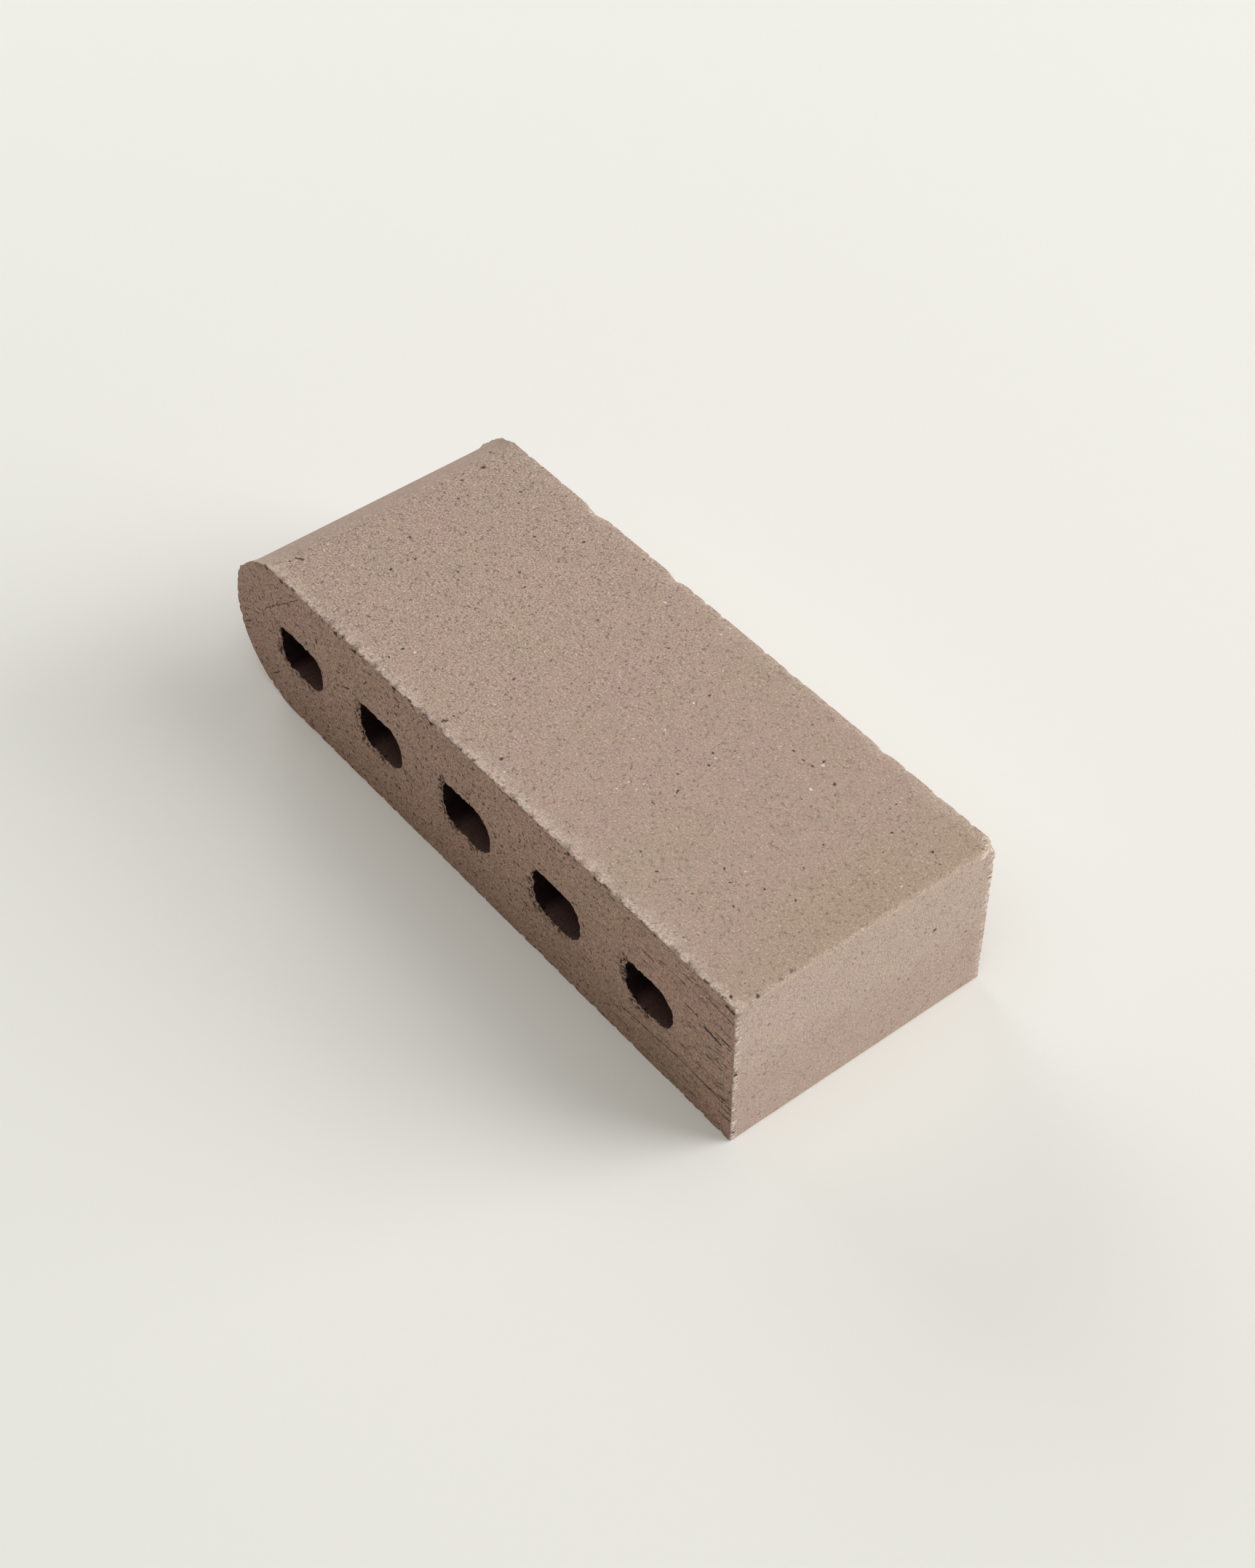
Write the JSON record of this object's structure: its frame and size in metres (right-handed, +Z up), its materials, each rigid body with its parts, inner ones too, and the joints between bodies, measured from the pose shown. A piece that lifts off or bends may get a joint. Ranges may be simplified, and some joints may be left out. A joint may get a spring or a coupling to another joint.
{
  "type": "bullnose clay paver",
  "caption": "Extruded, wire-cut clay paver with one full-round bullnose end, a square end and a row of cores through its width, for the edge of a step, coping or pool.",
  "frame": {"origin": "Centre of the paver's box on the plane of its bed, which is the surface it lies on.", "axes": "+X along the length, from the bullnose to the square end; +Y across the width, along the cores; +Z up, through the thickness."},
  "size_m": [0.229, 0.089, 0.0545],
  "materials": {
    "fired_clay": "matt"
  },
  "bodies": {
    "root": {"bullnose_paver": "fired_clay"}
  },
  "joints": []
}
